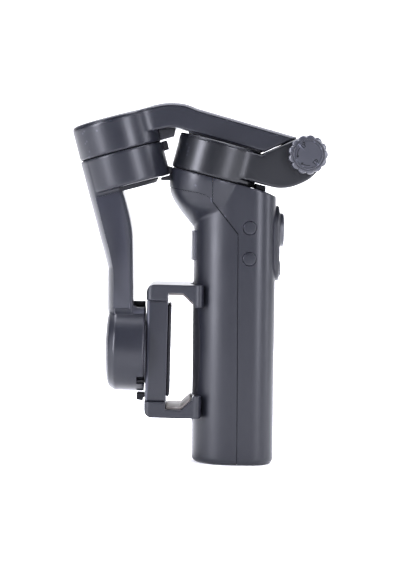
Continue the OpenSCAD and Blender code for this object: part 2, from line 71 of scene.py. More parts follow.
ON_PAN = frame_on("pan_turn", (0, 0, 1))
ON_TILT = frame_on("tilt_turn", (0, 0, 1))
ON_ROLL = frame_on("roll_turn", (1, 0, 0))
UNDER_TILT = ON_TILT @ Matrix.Rotation(math.pi, 4, "X")
ALONG_ROLL = ON_ROLL @ Matrix.Rotation(math.pi / 2, 4, "Y")
HINGE = place_of("fold_hinge")
ON_HINGE = Matrix.Translation(HINGE) @ Matrix.Rotation(math.pi / 2, 4, "X")

# ---- materials ----


def colour(code):
    """An sRGB hex code as linear RGBA."""
    parts = [int(code[i:i + 2], 16) / 255 for i in (0, 2, 4)]
    return [c / 12.92 if c <= 0.04045 else ((c + 0.055) / 1.055) ** 2.4 for c in parts] + [1.0]


def add(tree, kind, settings=None, inputs=None):
    """Adds a shader node, sets it, and links or fills its inputs."""
    made = tree.nodes.new(kind)
    for name, value in (settings or {}).items():
        setattr(made, name, value)
    for name, value in (inputs or {}).items():
        if isinstance(value, bpy.types.NodeSocket):
            tree.links.new(value, made.inputs[name])
        else:
            made.inputs[name].default_value = value
    return made


def surface(name, dark, light, rough, grain, depth, metal=0.0, worn=None, mottle=25.0, specular=0.5,
            spread=0.08):
    """A finish: two close tones in soft patches, a fine grain, and edges rubbed lighter."""
    material = bpy.data.materials.new(name)
    material.use_nodes = True
    tree = material.node_tree
    tree.nodes.clear()
    here = add(tree, "ShaderNodeTexCoord").outputs["Object"]
    patches = add(tree, "ShaderNodeTexNoise",
                  inputs={"Vector": here, "Scale": 1 / (mottle * MM), "Detail": 3.0})
    tone = add(tree, "ShaderNodeMix", {"data_type": "RGBA"},
               {0: patches.outputs["Fac"], 6: colour(dark), 7: colour(light)}).outputs[2]
    if worn:
        edges = add(tree, "ShaderNodeNewGeometry").outputs["Pointiness"]
        rubbed = add(tree, "ShaderNodeMapRange", inputs={
            "Value": edges, "From Min": 0.53, "From Max": 0.64, "To Min": 0.0, "To Max": 0.55})
        tone = add(tree, "ShaderNodeMix", {"data_type": "RGBA"},
                   {0: rubbed.outputs[0], 6: tone, 7: colour(worn)}).outputs[2]
    pits = add(tree, "ShaderNodeTexNoise",
               inputs={"Vector": here, "Scale": 1 / (grain * MM), "Detail": 2.0})
    shine = add(tree, "ShaderNodeMapRange", inputs={
        "Value": patches.outputs["Fac"], "From Min": 0.3, "From Max": 0.7,
        "To Min": rough - spread / 2, "To Max": rough + spread / 2})
    relief = add(tree, "ShaderNodeBump", inputs={
        "Height": pits.outputs["Fac"], "Strength": 0.35, "Distance": depth * MM})
    shader = add(tree, "ShaderNodeBsdfPrincipled", inputs={
        "Base Color": tone, "Roughness": shine.outputs[0], "Metallic": metal,
        "Specular IOR Level": specular, "Normal": relief.outputs[0]})
    add(tree, "ShaderNodeOutputMaterial", inputs={"Surface": shader.outputs[0]})
    return material


# ABS moulded in a spark-eroded tool: a fine even grain that spreads the softbox into a broad band
GRIP_ABS = surface("grip_abs_fine_grain", "111217", "15161b", 0.33, 0.45, 0.035, worn="3c3d47",
                   specular=0.25)
# The arms' ABS, from the same tooling, a touch smoother
ARM_ABS = surface("arm_abs_fine_grain", "131419", "17181d", 0.32, 0.4, 0.03, worn="40414b", specular=0.25)
# The pan head's ABS, tinted darker than the arms' as painted shade: the darker tone stands in for the dim
# reflections on the pan head's faces
HEAD_ABS_PAINTED_SHADE = surface("head_abs_painted_shade", "08090c", "0b0c0f", 0.32, 0.4, 0.03, worn="33343d", specular=0.27)
# Darker insert panels, matt
PANEL_ABS = surface("panel_abs_matt", "0e0f13", "121317", 0.44, 0.4, 0.03, worn="3c3d46", specular=0.3)
# Black moulded rubber for pads and bumpers: dull, a little uneven
RUBBER = surface("black_rubber_moulded", "08080b", "0c0c10", 0.6, 0.6, 0.05, worn="1f1f25", mottle=9.0,
                 specular=0.2)
# Brown-grey silicone on the inside of the jaws
JAW_RUBBER = surface("jaw_silicone", "4a4541", "585350", 0.58, 0.5, 0.05, worn="6d6864", mottle=6.0)
# Satin ABS of the keys, the joystick cap and the knob
KEY_ABS = surface("key_abs_satin", "1c1d23", "202127", 0.32, 0.35, 0.02, worn="5a5b64", mottle=8.0)
# Turned and ground steel
STEEL = surface("ground_steel", "8f9196", "a3a5aa", 0.28, 0.25, 0.01, metal=1.0, mottle=5.0)
# Black anodised aluminium of the roll hub
HUB_ALUMINIUM = surface("black_anodised_aluminium", "2a2b2f", "313237", 0.33, 0.2, 0.01, metal=0.6,
                        mottle=8.0)
# Turned brass
BRASS = surface("turned_brass", "a8843f", "b89450", 0.25, 0.25, 0.01, metal=1.0, mottle=4.0)
# Enamelled copper and laminations of the stators
STATOR = surface("lacquered_laminations", "6b4a2a", "86603a", 0.42, 0.5, 0.05, metal=0.7, mottle=3.0)
# Solder mask on the circuit boards
SOLDER_MASK = surface("green_solder_mask", "0f3d26", "17512f", 0.3, 0.8, 0.03, mottle=5.0)
# Shrink wrap on the cell
CELL_WRAP = surface("blue_shrink_wrap", "24527e", "2d6294", 0.26, 1.2, 0.03, mottle=14.0)
# Clear light pipe
LIGHT_PIPE = surface("frosted_light_pipe", "c9d4dc", "dbe4ea", 0.3, 0.5, 0.02, mottle=3.0)
# Dark lines pressed into the knob; the same near-black also stands in as painted shade in the joint gaps, behind
# the seams and under the knuckle and arm
INK_AND_PAINTED_SHADE = surface("engraved_line_and_painted_shade", "030304", "050506", 0.8, 0.4, 0.02, mottle=4.0, specular=0.1)

CARRIED = {
    "grip_plastic": GRIP_ABS, "arm_plastic": ARM_ABS, "panel_plastic": PANEL_ABS, "black_rubber": RUBBER,
    "jaw_rubber": JAW_RUBBER, "control_plastic": KEY_ABS, "steel": STEEL, "hub_metal": HUB_ALUMINIUM,
    "brass": BRASS, "circuit_board": SOLDER_MASK, "battery_wrap": CELL_WRAP, "light_pipe": LIGHT_PIPE,
}
SLOT_OF = {row["node"]: row["material_slot"] for row in frame["record"]["subparts"]}
for node, part in frame["nodes"].items():
    part.data.materials.clear()
    part.data.materials.append(STATOR if node.endswith("stator") else CARRIED[SLOT_OF[node]])

# ---- making shapes ----


def arc(centre, radius, start, end, steps):
    """Points on an arc, angles in degrees."""
    turns = [math.radians(start + (end - start) * i / steps) for i in range(steps + 1)]
    return [(centre[0] + radius * math.cos(t), centre[1] + radius * math.sin(t)) for t in turns]


def spun(profile, matrix=Matrix.Identity(4), steps=128):
    """A closed profile of (radius, height) points turned about local Z."""
    mesh = bmesh.new()
    points = [mesh.verts.new((r, 0, z)) for r, z in profile]
    edges = [mesh.edges.new(pair) for pair in zip(points, points[1:])]
    if profile[0][0] or profile[-1][0]:
        edges.append(mesh.edges.new((points[-1], points[0])))
    bmesh.ops.spin(mesh, geom=points + edges, cent=(0, 0, 0), axis=(0, 0, 1),
                   angle=math.tau, steps=steps, use_merge=True)
    bmesh.ops.remove_doubles(mesh, verts=mesh.verts, dist=1e-4)
    bmesh.ops.recalc_face_normals(mesh, faces=mesh.faces)
    bmesh.ops.transform(mesh, matrix=matrix, verts=mesh.verts)
    return mesh


def rounded(profile, radius, steps=5):
    """Rounds each named corner of a (radius, height) profile: {index: radius} or one radius for all."""
    radii = radius if isinstance(radius, dict) else {i: radius for i in range(len(profile))}
    made = []
    for i, point in enumerate(profile):
        corner = Vector(point)
        if not radii.get(i):
            made.append(tuple(corner))
            continue
        before = (Vector(profile[i - 1]) - corner)
        after = (Vector(profile[(i + 1) % len(profile)]) - corner)
        half = before.angle(after) / 2
        reach = min(radii[i] / math.tan(half), before.length * 0.49, after.length * 0.49)
        a, b = corner + before.normalized() * reach, corner + after.normalized() * reach
        made += [tuple(a.lerp(corner, t).lerp(corner.lerp(b, t), t))
                 for t in [j / steps for j in range(steps + 1)]]
    return made


def rod(radius, low, high, matrix=Matrix.Identity(4), steps=128):
    """A plain cylinder about the axis, for pins and bores."""
    return spun([(0, low), (radius, low), (radius, high), (0, high)], matrix, steps)


def slab(outline, half_w, edge=0.0, matrix=Matrix.Identity(4), soft=(), soft_r=0.0, segments=4, shift=0.0,
         soft_steps=8):
    """A side outline of (x, z) points made solid across Y, with its rim rounded."""
    mesh = bmesh.new()
    face = mesh.faces.new([mesh.verts.new((x, shift - half_w, z)) for x, z in outline])
    grown = bmesh.ops.extrude_face_region(mesh, geom=[face])
    moved = [v for v in grown["geom"] if isinstance(v, bmesh.types.BMVert)]
    bmesh.ops.translate(mesh, vec=(0, 2 * half_w, 0), verts=moved)
    bmesh.ops.recalc_face_normals(mesh, faces=mesh.faces)

    def rim(wanted):
        return [e for e in mesh.edges
                if abs(e.verts[0].co.y - e.verts[1].co.y) < 1e-6
                and abs(abs(e.verts[0].co.y - shift) - half_w) < 1e-6
                and wanted((e.verts[0].co + e.verts[1].co) / 2)]
    if soft_r:
        bmesh.ops.bevel(mesh, geom=rim(soft), offset=soft_r, affect="EDGES", segments=soft_steps,
                        profile=0.5, material=-1)
    if edge:
        bmesh.ops.bevel(mesh, geom=rim(lambda p: not (soft_r and soft(p))), offset=edge, affect="EDGES",
                        segments=segments, profile=0.5, material=-1)
    bmesh.ops.transform(mesh, matrix=matrix, verts=mesh.verts)
    return mesh


def prism(outline, low, high, matrix):
    """A plan outline of (x, y) points carried straight up from low to high."""
    mesh = bmesh.new()
    face = mesh.faces.new([mesh.verts.new((x, y, low)) for x, y in outline])
    grown = bmesh.ops.extrude_face_region(mesh, geom=[face])
    moved = [v for v in grown["geom"] if isinstance(v, bmesh.types.BMVert)]
    bmesh.ops.translate(mesh, vec=(0, 0, high - low), verts=moved)
    bmesh.ops.recalc_face_normals(mesh, faces=mesh.faces)
    bmesh.ops.transform(mesh, matrix=matrix, verts=mesh.verts)
    return mesh


def block(low, high, edge=0.0, matrix=Matrix.Identity(4), segments=3):
    """A box between two corners with rounded edges."""
    low, high = Vector(low), Vector(high)
    mesh = bmesh.new()
    bmesh.ops.create_cube(mesh, size=1)
    bmesh.ops.scale(mesh, vec=high - low, verts=mesh.verts)
    bmesh.ops.translate(mesh, vec=(low + high) / 2, verts=mesh.verts)
    if edge:
        bmesh.ops.bevel(mesh, geom=mesh.edges[:], offset=edge, affect="EDGES",
                        segments=segments, profile=0.5, material=-1)
    bmesh.ops.transform(mesh, matrix=matrix, verts=mesh.verts)
    return mesh


def lofted(rings):
    """Closed skin over rings of points, capped at both ends."""
    mesh = bmesh.new()
    loops = []
    for ring in rings:
        points = [mesh.verts.new(p) for p in ring]
        loops.append([mesh.edges.new((a, b)) for a, b in zip(points, points[1:] + points[:1])])
    for lower, upper in zip(loops, loops[1:]):
        bmesh.ops.bridge_loops(mesh, edges=lower + upper)
    for loop in (loops[0], loops[-1]):
        bmesh.ops.contextual_create(mesh, geom=loop)
    bmesh.ops.recalc_face_normals(mesh, faces=mesh.faces)
    return mesh


def as_object(name, parts):
    """One object, in metres, holding every given mesh."""
    data = bpy.data.meshes.new(name)
    whole = bmesh.new()
    for part in parts:
        part.to_mesh(data)
        whole.from_mesh(data)
        part.free()
    bmesh.ops.scale(whole, vec=(MM, MM, MM), verts=whole.verts)
    whole.to_mesh(data)
    whole.free()
    made = bpy.data.objects.new(name, data)
    bpy.context.scene.collection.objects.link(made)
    return made


def as_mesh(made):
    """An object's mesh, back in millimetres; the object itself goes."""
    mesh = bmesh.new()
    mesh.from_mesh(made.data)
    bmesh.ops.scale(mesh, vec=(1 / MM,) * 3, verts=mesh.verts)
    bpy.data.objects.remove(made)
    return mesh


def twin(made, name):
    """A second object with a mesh of its own."""
    other = made.copy()
    other.data = made.data.copy()
    other.name = name
    bpy.context.scene.collection.objects.link(other)
    return other


def settle(made):
    """Applies an object's modifiers to its mesh."""
    bpy.context.view_layer.update()
    shaped = made.evaluated_get(bpy.context.evaluated_depsgraph_get())
    data = bpy.data.meshes.new_from_object(shaped)
    made.modifiers.clear()
    old = made.data
    made.data = data
    bpy.data.meshes.remove(old)


def fuse(made, voxel, passes):
    """Melts overlapping shapes into one skin with soft inside corners, as a mould gives."""
    skin = made.modifiers.new("skin", "REMESH")
    skin.mode = "VOXEL"
    skin.voxel_size = voxel * MM
    soften = made.modifiers.new("soften", "SMOOTH")
    soften.factor = 0.5
    soften.iterations = passes
    settle(made)


def cut(made, parts, how="DIFFERENCE"):
    """Cuts, keeps or adds the given meshes, one at a time."""
    for part in parts:
        tool = as_object("tool", [part])
        change = made.modifiers.new("cut", "BOOLEAN")
        change.operation = how
        change.solver = "MANIFOLD"
        change.object = tool
        settle(made)
        bpy.data.objects.remove(tool)


def finish(made, body, material, nodes=(), angle=35):
    """Gives a piece its material, body, slot and the CAD nodes that it stands for."""
    made.data.materials.clear()
    made.data.materials.append(material)
    made.data.shade_smooth()
    made.data.set_sharp_from_angle(angle=math.radians(angle))
    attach(made, body)
    if nodes:
        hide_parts(*nodes)
    return made


def mirrored(outline):
    """The outline turned upside down, for the lower jaw."""
    return [(x, -z) for x, z in outline][::-1]


# ---- handle ----

pad_low, pad_high = box_mm("front_grip_pad")
bezel_low, bezel_high = box_mm("control_bezel")
NOSE = -pad_low.x
BACK = 20.3
GRIP_W = 17.5
CORNER = 11.5
GAP = 0.25
MOTOR_R = 21.0
WALL = 2.0
PAST = 40        # half width of a cutting slab, past both sides of the part
GRIP_TOP = 150
FOOT_R = 3.0
DECK = (12.9, 136.4)
DECK_SLOPE = 23.5
CREASE_X = -11.3
PAD_HALF_W = 9.9
PAD_PLAY = 0.12


def grip_outline(inset, steps=48):
    """The grip's section: an elliptic nose and two rounded rear corners."""
    nose = [(1 + (NOSE + 1 - inset) * math.cos(t), (GRIP_W - inset) * math.sin(t))
            for t in [math.pi / 2 + math.pi * i / steps for i in range(steps + 1)]]
    return (nose + arc((BACK - CORNER, CORNER - GRIP_W), CORNER - inset, 270, 360, steps // 3)
            + arc((BACK - CORNER, GRIP_W - CORNER), CORNER - inset, 0, 90, steps // 3))


def column(inset, low, high, foot=0.0):
    """The grip's section carried up from low to high, its foot rounded."""
    levels = [(low + foot * (1 - math.cos(t)), inset + foot * (1 - math.sin(t)))
              for t in [math.pi / 2 * i / 6 for i in range(7)]] if foot else [(low, inset)]
    levels.append((high, inset))
    return lofted([[(x, y, z) for x, y in grip_outline(step)] for z, step in levels])


def above(point, slope, height=60.0):
    """A wedge of everything above a sloping plane, used to cut tops off."""
    x, z = point
    fall = math.tan(math.radians(slope))
    return slab([(-80, z + (-80 - x) * -fall), (60, z + (60 - x) * -fall), (60, z + height + 80),
                 (-80, z + height + 80)], PAST)


PAN = place_of("pan_turn")
PAN_LEAN = 14.3
BOWL = [(0, -28), (2.7, -26.3), (6.4, -23.6), (11.4, -19.9), (16.2, -15.4), (19.2, -10.5), (20.7, -4),
        (21, -GAP), (0, -GAP)]


def curve_through(points, steps=6):
    """Points on a smooth curve through the given ones."""
    made = []
    for i in range(len(points) - 1):
        p0, p1 = Vector(points[max(i - 1, 0)]), Vector(points[i])
        p2, p3 = Vector(points[i + 1]), Vector(points[min(i + 2, len(points) - 1)])
        for j in range(steps):
            t = j / steps
            made.append(tuple(0.5 * ((2 * p1) + (p2 - p0) * t + (2 * p0 - 5 * p1 + 4 * p2 - p3) * t * t
                                     + (3 * p1 - p0 - 3 * p2 + p3) * t ** 3)))
    return made + [tuple(points[-1])]


def handle_solid(name, inset):
    """The handle without its hollow: grip, sloping deck and the bowl under the pan motor."""
    bowl = [(max(r - inset, 0), z) for r, z in curve_through(BOWL[:-1])]
    bowl = [(0, BOWL[0][1] + inset)] + bowl[1:-1] + [(MOTOR_R - inset, -GAP - inset), (0, -GAP - inset)]
    grip = as_object(name, [column(inset, inset, GRIP_TOP, foot=FOOT_R)])
    cut(grip, [above((PAN.x, PAN.z - (GAP + inset) / math.cos(math.radians(PAN_LEAN))), PAN_LEAN),
               above((DECK[0], DECK[1] - inset), DECK_SLOPE)])
    cut(grip, [spun(bowl, ON_PAN)], "UNION")
    return grip


SEAM = [(2.2, -5), (1.4, 114.6), (CREASE_X, 130.4)]
COLLAR = [(CREASE_X, 130.4), (-12.2, 131.9), (-14.4, 133.5), (-18.4, 134.7), (-60, 142.0)]
CREVICE = 0.17


def shells():
    """The two long shells and the collar, parted along the moulding seams and hollow inside."""
    def moved(points, x, z):
        return [(px + x, pz + z) for px, pz in points]
    zones = {
        "front_shell": [(-60, -5)] + moved(SEAM, -CREVICE, -CREVICE) + moved(COLLAR[1:], 0, -CREVICE),
        "rear_shell": moved(SEAM, CREVICE, CREVICE) + [(CREASE_X + CREVICE, 160), (60, 160), (60, -5)],
        "head_collar": [(CREASE_X - CREVICE, 160), (-60, 160)] + moved(COLLAR[::-1], -CREVICE, CREVICE),
    }
    outer = handle_solid("outer", 0)
    fuse(outer, 0.5, 4)
    hollow = as_mesh(handle_solid("inner", WALL))
    made = {}
    for name, zone in zones.items():
        piece = twin(outer, name + "_moulding")
        cut(piece, [slab(zone, PAST)], "INTERSECT")
        cut(piece, [hollow.copy(), rod(8, -12, 2, ON_PAN, 48)])
        made[name] = piece
    hollow.free()
    bpy.data.objects.remove(outer)
    return made


def pad_oval(grow, depth_from=-40, depth_to=0):
    """The long ellipse of the front pad as a bar along X."""
    half_w, half_h = PAD_HALF_W + grow, (pad_high.z - pad_low.z) / 2 + grow
    middle = (pad_high.z + pad_low.z) / 2
    outline = [(half_w * math.cos(t), middle + half_h * math.sin(t))
               for t in [math.tau * i / 96 for i in range(96)]]
    turned = Matrix.Rotation(-math.pi / 2, 4, "Z")
    bar = slab(outline, (depth_to - depth_from) / 2, 0, turned)
    bmesh.ops.translate(bar, vec=((depth_to + depth_from) / 2, 0, 0), verts=bar.verts)
    return bar


mouldings = shells()
LIP_OUTER, LIP_INNER = 0.7, 1.7
LIP_REACH = 0.9
LIP_BORE = 4.5


def band(points, half_w):
    """A narrow strip of the side view along a seam."""
    left = [(x - half_w, z - half_w * 0.6) for x, z in points]
    right = [(x + half_w, z + half_w * 0.6) for x, z in points[::-1]]
    return left + right


def seam_shade_strips():
    """A near-black strip behind each seam: painted shade that makes the seam gaps read dark."""
    crease = [(CREASE_X, 130), (CREASE_X, 140.2)]
    for number, line in enumerate((SEAM, COLLAR, crease)):
        lip = handle_solid("seam_painted_shade_" + str(number), LIP_OUTER)
        cut(lip, [as_mesh(handle_solid("core", LIP_INNER))])
        cut(lip, [slab(band(line, LIP_REACH), PAST)], "INTERSECT")
        cut(lip, [rod(LIP_BORE, -30, 30, ON_PAN, 48)])
        finish(lip, "handle", INK_AND_PAINTED_SHADE)


seam_shade_strips()

# the pad lies in a shallow bed in the front shell
pad = as_object("front_pad", [column(-0.05, pad_low.z - 2, pad_high.z + 2)])
cut(pad, [column(1.0, pad_low.z - 4, pad_high.z + 4)])
cut(pad, [pad_oval(-PAD_PLAY)], "INTERSECT")
finish(pad, "handle", RUBBER, ["front_grip_pad"])
trench_body = as_object("trench", [column(-2.0, pad_low.z - 2, pad_high.z + 2)])
cut(trench_body, [column(1.0, pad_low.z - 4, pad_high.z + 4)])
cut(trench_body, [pad_oval(PAD_PLAY)], "INTERSECT")
trench = as_mesh(trench_body)

trigger_low, trigger_high = box_mm("trigger")
TRIGGER_PLAY = 0.25
well = block((-40, trigger_low.y - TRIGGER_PLAY, trigger_low.z - TRIGGER_PLAY),
             (-8, trigger_high.y + TRIGGER_PLAY, trigger_high.z + TRIGGER_PLAY), 0.5)
cut(mouldings["front_shell"], [trench, well])
trigger = as_object("trigger_key", [column(-1.3, trigger_low.z, trigger_high.z)])
cut(trigger, [block((-40, trigger_low.y, trigger_low.z - 1),
                    (-13, trigger_high.y, trigger_high.z + 1))], "INTERSECT")
fuse(trigger, 0.35, 5)
finish(trigger, "trigger", KEY_ABS, ["trigger"])

button_low, button_high = box_mm("side_button_upper")
BUTTON_X = (button_low.x + button_high.x) / 2
SIDE_R = 3.2
button_heights = {}
for key in ("side_button_upper", "side_button_lower"):
    low, high = box_mm(key)
    button_heights[key] = (low.z + high.z) / 2
holes = []
for key, height in button_heights.items():
    facing = Matrix.Translation((BUTTON_X, 0, height)) @ Matrix.Rotation(math.pi / 2, 4, "X")
    holes.append(spun([(0, 14), (SIDE_R + 0.16, 14), (SIDE_R + 0.16, GRIP_W - 0.25),
                       (SIDE_R + 0.42, GRIP_W + 0.1),
                       (SIDE_R + 0.42, 20), (0, 20)], facing, 64))
    cap = spun([(0, 14.2), (SIDE_R, 14.2)] + arc((SIDE_R - 0.35, GRIP_W - 0.3), 0.35, 0, 90, 4)
               + [(1.6, GRIP_W + 0.08), (0, GRIP_W + 0.1)], facing, 64)
    finish(as_object(key + "_cap", [cap]), key, GRIP_ABS, [key])
PORT_LOW, PORT_HIGH = (6.3, 11, 55.2), (9.9, 30, 64.8)
port = block(PORT_LOW, PORT_HIGH, 0.8)
cut(mouldings["rear_shell"], holes + [port])
bezel_mid = (bezel_low.z + bezel_high.z) / 2
BEZEL_W = (bezel_high.y - bezel_low.y) / 2
BEZEL_H = (bezel_high.z - bezel_low.z) / 2


def rear_oval(half_w, half_h, low_x, high_x, edge=0.0):
    """An upright oval plate facing the rear, its outer rim rounded over."""
    outline = arc((0, bezel_mid + half_h - half_w), half_w, 0, 180, 32)
    outline += arc((0, bezel_mid - half_h + half_w), half_w, 180, 360, 32)
    rings = []
    for t in [math.pi / 2 * i / 6 for i in range(7)]:
        back = edge * (1 - math.sin(t))
        scale_w, scale_h = (half_w - back) / half_w, (half_h - back) / half_h
        rings.append([(high_x - edge * (1 - math.cos(t)), y * scale_w, bezel_mid
                       + (z - bezel_mid) * scale_h) for y, z in outline])
    rings.append([(low_x, y, z) for y, z in outline])
    return lofted(rings if edge else [rings[-1], [(high_x, y, z) for y, z in outline]])


cut(mouldings["rear_shell"], [rear_oval(BEZEL_W - 0.5, BEZEL_H - 0.5, 10, 30)])
for name, piece in mouldings.items():
    finish(piece, "handle", GRIP_ABS, [name], angle=40)

stick_low, stick_high = box_mm("joystick")
mode_low, mode_high = box_mm("mode_button")
STICK_Z = (stick_low.z + stick_high.z) / 2
MODE_Z = (mode_low.z + mode_high.z) / 2
STATUS_Z = 104
REARWARD = Matrix.Rotation(math.pi / 2, 4, "Y")
bezel = as_object("bezel_plate", [rear_oval(BEZEL_W, BEZEL_H, 8, bezel_high.x, 1.3)])
cut(bezel, [column(0.02, 60, 150),
            spun(rounded([(0, 5), (10, 5), (10, bezel_high.x - 0.4), (10.4, bezel_high.x + 1),
                          (0, bezel_high.x + 1)], 0), Matrix.Translation((0, 0, STICK_Z)) @ REARWARD),
            rod(4.05, 5, 30, Matrix.Translation((0, 0, MODE_Z)) @ REARWARD, 64),
            rod(0.9, 5, 30, Matrix.Translation((0, 0, STATUS_Z)) @ REARWARD, 24)])
finish(bezel, "handle", PANEL_ABS, ["control_bezel"])
face = stick_high.x
stick = spun([(0, stick_low.x), (2.2, stick_low.x), (2.2, 20.3), (7.2, 21.4)]
             + arc((7.7, 22.3), 0.8, -60, 20, 5) + arc((7.5, face - 0.9), 0.9, 10, 80, 5)
             + curve_through([(6.9, face - 0.05), (5, face - 0.3), (2.6, face - 0.75), (0, face - 0.85)],
                             5),
             Matrix.Translation((0, 0, STICK_Z)) @ REARWARD)
finish(as_object("joystick_cap", [stick]), "joystick", KEY_ABS, ["joystick"])
mode = spun([(0, mode_low.x), (3.9, mode_low.x)] + arc((3.2, mode_high.x - 0.7), 0.7, 0, 90, 5)
            + [(1.5, mode_high.x - 0.12), (0, mode_high.x - 0.18)],
            Matrix.Translation((0, 0, MODE_Z)) @ REARWARD, 64)
finish(as_object("mode_key", [mode]), "mode_button", KEY_ABS, ["mode_button"])

# ---- pan head ----

EAR_W = 16.2
EAR_R = 9.3
EAR_SLOT = 6.3
KNUCKLE_LIFT = 3.0
BOLT_BORE = 3.02
WASHER_R = 5.7
MOTOR_BORE = 17.3
MOTOR_DEPTH = 13.2
SHOULDER = 114.3


def web(width, reach, low, high, matrix):
    """The flesh that flares from a flat-sided arm into a round housing, as a prism along the axis."""
    flare = (reach ** 2 + width ** 2 - MOTOR_R ** 2) / (2 * (MOTOR_R - width))
    start = math.degrees(math.atan2(-(width + flare), -reach)) + 360
    near = arc((reach, width + flare), flare, start, 270, 16)
    return prism(near + [(x, -y) for x, y in near[::-1]], low, high, matrix)


def pan_floor(x, lift):
    """The height of the pan joint's plane at x, plus a lift."""
    return PAN.z - (x - PAN.x) * math.tan(math.radians(PAN_LEAN)) + lift


def about_hinge(points):
    """Points given from the hinge, with the first axis square to the arm's shoulder, as (x, z)."""
    c, s = math.cos(math.radians(SHOULDER)), math.sin(math.radians(SHOULDER))
    return [(HINGE.x + p * c - q * s, HINGE.z + p * s + q * c) for p, q in points]


knuckle = (curve_through([(15.4, pan_floor(15.4, KNUCKLE_LIFT)), (21.7, 137.4), (28.5, 138.4),
                          (36.5, 142.3), (43.2, 149.4)], 6)[:-1]
           + arc((HINGE.x, HINGE.z), EAR_R, -30, SHOULDER, 24)
           + [(14.4, 154.7), (13.2, 153.3), (-4, 157.6), (-4, pan_floor(-4, KNUCKLE_LIFT))])
PAN_H = 17.7
PAN_LID = 0.95
pan_head = as_object("pan_head_moulding", [
    spun(rounded([(0, GAP), (MOTOR_R, GAP), (MOTOR_R, PAN_H - PAN_LID), (0, PAN_H - PAN_LID)],
                 {1: 0.3, 2: 0.2}), ON_PAN),
    web(EAR_W, 16.9, 2.9, PAN_H - PAN_LID, ON_PAN),
    slab(knuckle, EAR_W, 0.9)])
fuse(pan_head, 0.45, 5)
slot_cut = about_hinge([(0, 7.3), (30, 14.5), (30, -30), (0, -40), (-27.8, -11.2), (0, 0)])
cut(pan_head, [slab(slot_cut, EAR_SLOT), slab(arc((HINGE.x, HINGE.z), 7.3, 0, 352, 44), EAR_SLOT)])
cut(pan_head, [rod(BOLT_BORE, -20, 20, ON_HINGE, 48),
               rod(WASHER_R, -20, -13, ON_HINGE, 48),
               rod(MOTOR_BORE, -5, MOTOR_DEPTH, ON_PAN, 96)])
# the pan head and its lid take the darker tone, which is painted shade
finish(pan_head, "pan_head", HEAD_ABS_PAINTED_SHADE, ["pan_housing"], angle=40)
lid = spun([(0, PAN_H - PAN_LID), (MOTOR_R - 0.35, PAN_H - PAN_LID),
            (MOTOR_R - 0.35, PAN_H - PAN_LID + 0.1), (MOTOR_R - 0.05, PAN_H - PAN_LID + 0.12)]
           + arc((MOTOR_R - 0.85, PAN_H - 0.8), 0.8, 5, 90, 6) + [(0, PAN_H)], ON_PAN)
finish(as_object("pan_lid", [lid]), "pan_head", HEAD_ABS_PAINTED_SHADE, ["pan_top_cover"], angle=50)


def joint_gap_shade(name, matrix, body):
    """A near-black ring across a turning joint's gap, which blocks the view through it; its colour is painted
    shade that makes the gap read black.
    """
    lip = spun([(17.9, -GAP + 0.06), (MOTOR_R - 1.1, -GAP + 0.06), (MOTOR_R - 1.1, GAP + 0.3),
                (17.9, GAP + 0.3)], matrix)
    return finish(as_object(name, [lip]), body, INK_AND_PAINTED_SHADE)


joint_gap_shade("pan_gap_painted_shade", ON_PAN, "pan_head")
# near-black strips where the arm's shoulder meets the knuckle: painted shade in the gap
strips = [slab(about_hinge([(7.4, 2.0), (9.5, 2.0), (9.5, 20.6), (7.4, 20.6)]), 2.8, shift=side * 9.6)
          for side in (-1, 1)]
finish(as_object("shoulder_painted_shade", strips), "pan_head", INK_AND_PAINTED_SHADE)
# a near-black block under the knuckle by the pan housing: painted shade for the knuckle's shaded underside
heel = slab([(17, 0.0), (MOTOR_R + 0.1, 0.0), (MOTOR_R + 0.1, 3.4), (17, 3.4)], 8, 0, ON_PAN)
finish(as_object("knuckle_painted_shade", [heel]), "pan_head", INK_AND_PAINTED_SHADE)
# a near-black wedge on the handle, seen through the gap under the knuckle: painted shade
wedge = slab([(9.8, 139.4), (15, 138.4), (14.0, 135.8), (8.1, 136.2), (8.1, 137.3), (9.2, 137.05)], 4)
finish(as_object("rest_painted_shade", [wedge]), "handle", INK_AND_PAINTED_SHADE)

# ---- lock knob ----

knob_low, knob_high = box_mm("lock_knob")
KNOB_BACK, KNOB_FRONT = -knob_high.y, -knob_low.y
KNOB_R = 9.65
SCALLOPS = 13


def scalloped(radius, height):
    """One ring of the knob's rim with its scallops."""
    ring = []
    for i in range(SCALLOPS * 12):
        turn = math.tau * i / (SCALLOPS * 12)
        r = radius - 0.85 * (1 - abs(math.cos(turn * SCALLOPS / 2)) ** 0.8)
        ring.append((r * math.cos(turn), r * math.sin(turn), height))
    return ring


knob = lofted([scalloped(r, h) for r, h in [
    (KNOB_R - 0.8, KNOB_BACK), (KNOB_R - 0.25, KNOB_BACK + 0.2), (KNOB_R, KNOB_BACK + 0.8),
        (KNOB_R, KNOB_FRONT - 1.0),
    (KNOB_R - 0.25, KNOB_FRONT - 0.35), (KNOB_R - 0.8, KNOB_FRONT)]])
bmesh.ops.transform(knob, matrix=ON_HINGE, verts=knob.verts)
knob = as_object("knob_moulding", [knob])
cut(knob, [rod(3.06, KNOB_BACK - 1, 21.8, ON_HINGE, 48),
           spun([(0, KNOB_FRONT - 0.5), (7.55, KNOB_FRONT - 0.5), (7.75, KNOB_FRONT + 1),
                 (0, KNOB_FRONT + 1)], ON_HINGE, 96)])
finish(knob, "lock_knob", KEY_ABS, ["lock_knob"])
DISC_FACE = KNOB_FRONT + 0.25
disc = spun(rounded([(0, KNOB_FRONT - 0.5), (7.3, KNOB_FRONT - 0.5), (7.3, DISC_FACE), (6.7, DISC_FACE),
                     (6.55, DISC_FACE - 0.2),
                     (6.35, DISC_FACE - 0.2), (6.2, DISC_FACE),
                     (6.0, DISC_FACE), (5.8, DISC_FACE), (3, DISC_FACE), (1, DISC_FACE), (0, DISC_FACE)],
                    {2: 0.3}), ON_HINGE)
finish(as_object("knob_disc", [disc]), "lock_knob", KEY_ABS, ["knob_cap"], angle=25)
LINE_W = 0.42


